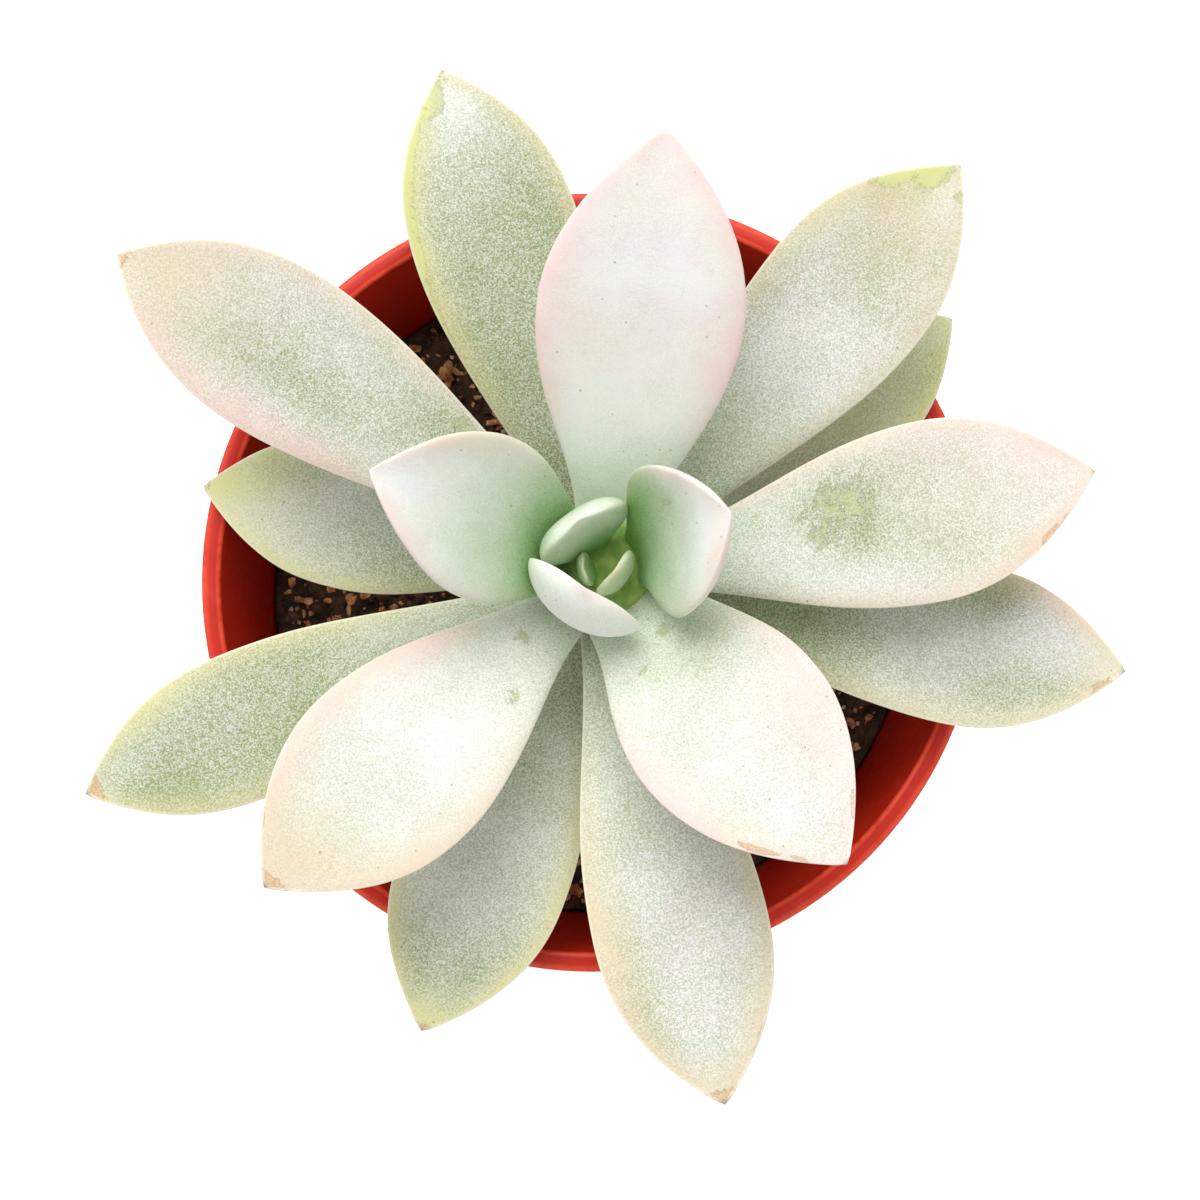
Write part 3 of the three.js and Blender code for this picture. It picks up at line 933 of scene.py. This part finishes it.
def leaf_skin():
    """Wax powder over green skin, from where a point is on its leaf and how that leaf has worn."""
    material, tree, shader = new_material(
        "powdery_leaf",
        Roughness=0.7,
        Specular_IOR_Level=0.3,
        Subsurface_Weight=0.15,
        Subsurface_Scale=1.2 * MM,
        Subsurface_Radius=(0.8, 1.0, 0.4),
    )
    place = object_place(tree)

    def parts(label):
        """The three values that each point of the leaf carries under one label."""
        vector = node(tree, "ShaderNodeAttribute", attribute_name=label).outputs["Vector"]
        return node(tree, "ShaderNodeSeparateXYZ", {"Vector": vector}).outputs

    def times(*values):
        product = values[0]
        for value in values[1:]:
            product = calc(tree, "MULTIPLY", product, value)
        return product

    powder, fresh, lilac = parts("leaf_coat")
    pink, straw, yellow = parts("leaf_tint")
    rub, cork, edge = parts("leaf_wear")

    speckle = clouds(tree, place, SPECKLE_SIZE, detail=1, roughness=0.4, warp=0.8)
    grain = clouds(tree, place, GRAIN_SIZE, detail=1)
    drift = clouds(tree, place, 8 * MM, detail=3, roughness=0.55)
    other_drift = clouds(tree, place, 5.5 * MM, detail=3, roughness=0.6, warp=0.5)
    blotch = clouds(tree, place, 2.4 * MM, detail=4, roughness=0.6)

    # powder: broad drifts and a fine worm-like grain, boldest where the coat is thin
    coat = calc(tree, "ADD", powder, eased(tree, drift, 0.3, 0.7, -0.06, 0.06))
    coat = calc(tree, "ADD", coat, eased(tree, blotch, 0.3, 0.7, -0.02, 0.02))
    worms = eased(tree, speckle, 0.38, 0.62, -1, 1)
    worms = calc(tree, "ADD", worms, eased(tree, grain, 0.3, 0.7, -0.5, 0.5))
    bold = eased(tree, powder, 0.3, 1.0, 0.28, 0.19)
    bold = times(bold, calc(tree, "MULTIPLY_ADD", fresh, -0.75, 1.0))
    coat = calc(tree, "ADD", coat, times(worms, bold), clamp=True)
    skin = mixed(tree, fresh, OLD_SKIN, FRESH_SKIN)
    wax = mixed(tree, fresh, POWDER_WHITE, POWDER_FRESH)
    lilac = times(lilac, eased(tree, other_drift, 0.3, 0.7, 0.2, 0.8))
    wax = mixed(tree, lilac, wax, POWDER_LILAC)
    colour = mixed(tree, coat, skin, wax)

    # flushes of pink, straw and yellow, in soft clouds that the grain shows through
    patchy = eased(tree, other_drift, 0.3, 0.7, 0.65, 1.0)
    grained = eased(tree, speckle, 0.3, 0.7, 0.8, 1.0)
    colour = mixed(tree, times(yellow, patchy, grained), colour, YELLOW_GREEN)
    colour = mixed(tree, times(straw, patchy, grained), colour, STRAW)
    colour = mixed(tree, times(pink, patchy, 0.75), colour, PINK_FLUSH)

    # small dark pits where the powder has gone
    cells = node(tree, "ShaderNodeTexVoronoi", {"Vector": place, "Scale": 1 / PIT_SPACING})
    chosen = node(tree, "ShaderNodeSeparateColor", {0: cells.outputs["Color"]}).outputs[0]
    dot_size = eased(tree, chosen, 0.5, 1.0, 0.0, 0.12)
    dots = calc(tree, "LESS_THAN", cells.outputs["Distance"], dot_size)
    colour = mixed(tree, times(dots, 0.45), colour, PIT_GREEN)

    # rubbed places, with torn outlines
    torn = clouds(tree, place, 1.2 * MM, detail=6, roughness=0.8)
    bare = eased(tree, calc(tree, "MULTIPLY_ADD", torn, 1.5, rub), 1.24, 1.36)
    bare_colour = mixed(tree, eased(tree, speckle, 0.3, 0.7), RUBBED_SKIN, RUBBED_PALE)
    yellowed = calc(tree, "MULTIPLY", yellow, 1.4, clamp=True)
    bare_colour = mixed(tree, yellowed, bare_colour, RUBBED_YELLOW)
    colour = mixed(tree, times(bare, 0.8), colour, bare_colour)

    # corky marks
    cracked = clouds(tree, place, 0.8 * MM, detail=5, roughness=0.75)
    corky = eased(tree, calc(tree, "MULTIPLY_ADD", cracked, 0.8, cork), 0.95, 1.05)
    cork_colour = mixed(tree, eased(tree, grain, 0.35, 0.65), CORK_BROWN, CORK_TAN)
    colour = mixed(tree, times(corky, 0.6), colour, cork_colour)

    # the thin crisp rim of a leaf lets light through
    thin_rim = eased(tree, edge, 0.1, 0.5, 1.0, 0.0)
    rim_colour = mixed(tree, pink, RIM_CREAM, RIM_PINK)
    thin_rim = times(thin_rim, calc(tree, "MULTIPLY_ADD", fresh, -0.4, 0.65))
    colour = mixed(tree, thin_rim, colour, rim_colour)
    tree.links.new(colour, shader.inputs["Base Color"])

    rough = eased(tree, coat, 0.0, 1.0, 0.5, 0.8)
    rough = calc(tree, "SUBTRACT", rough, calc(tree, "MULTIPLY", bare, 0.15))
    tree.links.new(rough, shader.inputs["Roughness"])
    raised = calc(tree, "ADD", times(speckle, 0.6), times(grain, 0.4))
    raised = calc(tree, "ADD", raised, times(corky, 1.2))
    raised = calc(tree, "SUBTRACT", raised, times(bare, 0.8))
    raised = calc(tree, "SUBTRACT", raised, times(dots, 0.8))
    bumped(tree, shader, raised, SKIN_DEPTH)
    return material


def leaf_rings(bm, foot):
    """Marks each vertex with its ring, from base to tip, and its place round the ring."""
    poles = [v for v in bm.verts if len(v.link_edges) == LEAF_AROUND]
    poles.sort(key=lambda v: (v.co - foot).length)
    base, tip = poles[0], poles[-1]
    level = {base: 0}
    front = [base]
    while front:
        reached = []
        for v in front:
            for e in v.link_edges:
                other = e.other_vert(v)
                if other not in level:
                    level[other] = level[v] + 1
                    reached.append(other)
        front = reached
    way = tip.co - base.co
    left = Vector((-way.y, way.x, 0)).normalized()
    up = way.cross(left)
    column = {base: 0, tip: 0}
    for ring in range(1, LEAF_ALONG):
        members = [v for v in bm.verts if level[v] == ring]
        step = max(members, key=lambda v: v.co.dot(left))
        before = None
        for place in range(LEAF_AROUND):
            column[step] = place
            ahead = [
                e.other_vert(step) for e in step.link_edges if level[e.other_vert(step)] == ring
            ]
            ahead = [v for v in ahead if v is not before]
            before, step = step, max(ahead, key=lambda v: v.co.dot(up))
    return base, tip, level, column


def leaf(i, look, skin):
    """Grows one leaf from its CAD solid, by subdivision of a cage with creased margins."""
    name = f"leaf_{i + 1:02d}"
    foot = Vector((STEM_X, STEM_Y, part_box(name)[0].z))
    bm = bmesh.new()
    bm.from_mesh(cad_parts[name].data)
    bmesh.ops.remove_doubles(bm, verts=bm.verts, dist=1e-6)
    place = bm.verts.layers.float_vector.new("leaf_place")
    crease = bm.edges.layers.float.new("crease_edge")
    sharp = bm.verts.layers.float.new("crease_vert")
    base, tip, level, column = leaf_rings(bm, foot)
    diagonals = [
        e
        for e in bm.edges
        if level[e.verts[0]] != level[e.verts[1]]
        and column[e.verts[0]] != column[e.verts[1]]
        and base not in e.verts
        and tip not in e.verts
    ]

    phase = random.Random(100 + i).uniform(0, 50)
    for ring in range(1, LEAF_ALONG):
        members = {column[v]: v for v in bm.verts if level[v] == ring}
        # a young leaf is plump, with blunt margins
        for turn in range(1, LEAF_AROUND // 2):
            upper, lower = members[turn], members[LEAF_AROUND - turn]
            share = abs(math.cos(2 * math.pi * turn / LEAF_AROUND))
            middle = (upper.co + lower.co) / 2
            half = (upper.co - lower.co) / 2 * (1 + PLUMPNESS * look["fresh"] * share)
            upper.co, lower.co = middle + half, middle - half

        left, right = members[0].co, members[LEAF_AROUND // 2].co
        middle = (left + right) / 2
        half_width = (left - right).length / 2
        share = (ring - 1) / (LEAF_ALONG - 1)
        for turn, v in members.items():
            across = math.cos(2 * math.pi * turn / LEAF_AROUND)
            v[place] = (share, across, half_width / MM * (1 - abs(across)))
            ripple = noise.noise(Vector((phase + share * 5, 3 * across, 0)))
            wave = noise.noise(Vector((phase, share * 4, across)))
            v.co += (v.co - middle) * MARGIN_RIPPLE * ripple * share
            v.co.z += BLADE_WAVE * wave * share
    base[place] = (0, 0, 3)
    tip[place] = (1, 0, 0)
    tip[sharp] = TIP_CREASE
    margins = {0, LEAF_AROUND // 2}
    for e in bm.edges:
        first, second = e.verts
        lengthwise = level[first] != level[second] and column[first] == column[second]
        if lengthwise and column[first] in margins:
            e[crease] = MARGIN_CREASE - FRESH_CREASE_LOSS * look["fresh"]
        if level[first] == level[second] == 1:
            e[crease] = FOOT_CREASE
    bmesh.ops.dissolve_edges(bm, edges=diagonals, use_verts=False)

    tip_place, tip_way = tip.co.copy(), (tip.co - base.co).normalized()
    cage = in_scene(name + "_cage", mesh_from(name + "_cage", bm))
    grow = cage.modifiers.new("grow", "SUBSURF")
    grow.levels = grow.render_levels = LEAF_DETAIL
    grown = finished_mesh(cage, name + "_blade")
    dress(grown, look, tip_place, tip_way)
    placed(name + "_blade", grown, skin, "leaf_skin", name)


def dress(mesh, look, tip_place, tip_way):
    """Adds the leaf's own point at the tip, and the attributes that its skin reads."""
    count = len(mesh.vertices)
    points = np.empty(count * 3)
    mesh.vertices.foreach_get("co", points)
    points = points.reshape(-1, 3)
    reach = np.linalg.norm(points - np.array(tip_place), axis=1)
    points += np.outer(np.exp(-((reach / MUCRO_REACH) ** 2)) * MUCRO, np.array(tip_way))
    mesh.vertices.foreach_set("co", points.ravel())

    place = np.empty(count * 3)
    mesh.attributes["leaf_place"].data.foreach_get("vector", place)
    along, across, edge = place.reshape(-1, 3).T
    # margins are tinted beyond the leaf's narrow foot
    rise = np.clip((along - 0.12) / 0.4, 0, 1)
    rise = rise * rise * (3 - 2 * rise)
    margin = np.exp(-((edge / (MARGIN_TINT * look["reach"])) ** 1.5)) * rise
    levels = np.interp((0, 0.3, 1, 1.4, 2), (0, 1, 2), look["powder"])
    fields = {
        "powder": np.interp(along, (0, 0.12, 0.5, 0.8, 1), levels),
        "fresh": np.full(count, look["fresh"]),
        "lilac": look["lilac"] * np.clip((along - 0.25) / 0.4, 0, 1),
        "pink": look["pink"] * margin,
        "straw": look["straw"] * margin,
        "yellow": look["yellow"] * margin,
        "rub": np.zeros(count),
        "cork": np.zeros(count),
        "edge": edge,
    }
    for kind, mark_along, mark_across, length, breadth, strength in look["marks"]:
        off = ((along - mark_along) / length) ** 2 + ((across - mark_across) / breadth) ** 2
        amount = strength * np.exp(-0.7 * off)
        if kind == "thin":
            fields["powder"] -= amount
        elif kind == "thick":
            fields["powder"] += amount
        elif kind in ("rub", "cork"):
            fields[kind] = np.maximum(fields[kind], amount)
        else:
            fields[kind] += amount * (1 - fields[kind])
    for name, members in (
        ("leaf_coat", ("powder", "fresh", "lilac")),
        ("leaf_tint", ("pink", "straw", "yellow")),
        ("leaf_wear", ("rub", "cork", "edge")),
    ):
        values = np.stack([fields[member] for member in members], axis=1)
        layer = mesh.attributes.new(name, "FLOAT_VECTOR", "POINT")
        layer.data.foreach_set("vector", values.astype(np.float32).ravel())
    mesh.attributes.remove(mesh.attributes["leaf_place"])


skin = leaf_skin()
for i, look in enumerate(LEAF_LOOKS):
    leaf(i, look, skin)


# ---------------------------------------------------------------------------------------------
# Studio. A plain white floor that glows faintly, a white room, and one big softbox overhead on
# the far side. The camera looks almost straight down on the plant.
# ---------------------------------------------------------------------------------------------

CAMERA_DISTANCE = 420 * MM
CAMERA_TILT = math.radians(4)
CAMERA_LENS = 98.6  # mm
CAMERA_SENSOR = 36  # mm
LOOK_AT = Vector((1.0 * MM, -2.7 * MM, POT_HEIGHT))
FLOOR_HALF_WIDTH = 3
FLOOR_DROP = 0.1 * MM  # keeps the floor clear of the pot's foot
FLOOR_WHITE = (0.93, 0.93, 0.93, 1)
FLOOR_WHITER = (0.95, 0.95, 0.95, 1)
ROOM_STRENGTH = 0.72
SOFTBOX_PLACE = Vector((-0.15, 0.55, 0.8))
SOFTBOX_SIZE = 0.8
SOFTBOX_POWER = 7.6
SOFTBOX_AIM = Vector((0, 0, 0.09))

floor_white, tree, shader = new_material(
    "white_floor", Roughness=0.9, Emission_Color=(1, 1, 1, 1), Emission_Strength=0.6
)
place = object_place(tree)
tone = eased(tree, clouds(tree, place, 0.5, detail=2), 0.3, 0.7)
tree.links.new(mixed(tree, tone, FLOOR_WHITE, FLOOR_WHITER), shader.inputs["Base Color"])
bm = bmesh.new()
bmesh.ops.create_grid(bm, x_segments=1, y_segments=1, size=FLOOR_HALF_WIDTH)
bmesh.ops.translate(bm, verts=bm.verts, vec=(0, 0, -FLOOR_DROP))
floor = in_scene("floor", mesh_from("floor", bm))
floor.data.materials.append(floor_white)
# the bright floor doesn't throw its light back up at the pot
floor.visible_diffuse = False
floor.visible_glossy = False

world = bpy.data.worlds.new("soft_room")
world.use_nodes = True
background = world.node_tree.nodes["Background"]
background.inputs["Color"].default_value = (1, 1, 1, 1)
background.inputs["Strength"].default_value = ROOM_STRENGTH
bpy.context.scene.world = world

softbox = in_scene("overhead_softbox", bpy.data.lights.new("overhead_softbox", "AREA"))
softbox.data.size = SOFTBOX_SIZE
softbox.data.energy = SOFTBOX_POWER
softbox.location = SOFTBOX_PLACE
softbox.rotation_euler = (SOFTBOX_AIM - SOFTBOX_PLACE).to_track_quat("-Z", "Y").to_euler()

camera = in_scene("camera", bpy.data.cameras.new("camera"))
camera.data.lens = CAMERA_LENS
camera.data.sensor_width = CAMERA_SENSOR
camera.data.clip_start = 10 * MM
back = Vector((0, -math.sin(CAMERA_TILT), math.cos(CAMERA_TILT)))
camera.location = LOOK_AT + CAMERA_DISTANCE * back
camera.rotation_euler = (CAMERA_TILT, 0, 0)
bpy.context.scene.camera = camera
bpy.context.scene.view_settings.view_transform = "Standard"
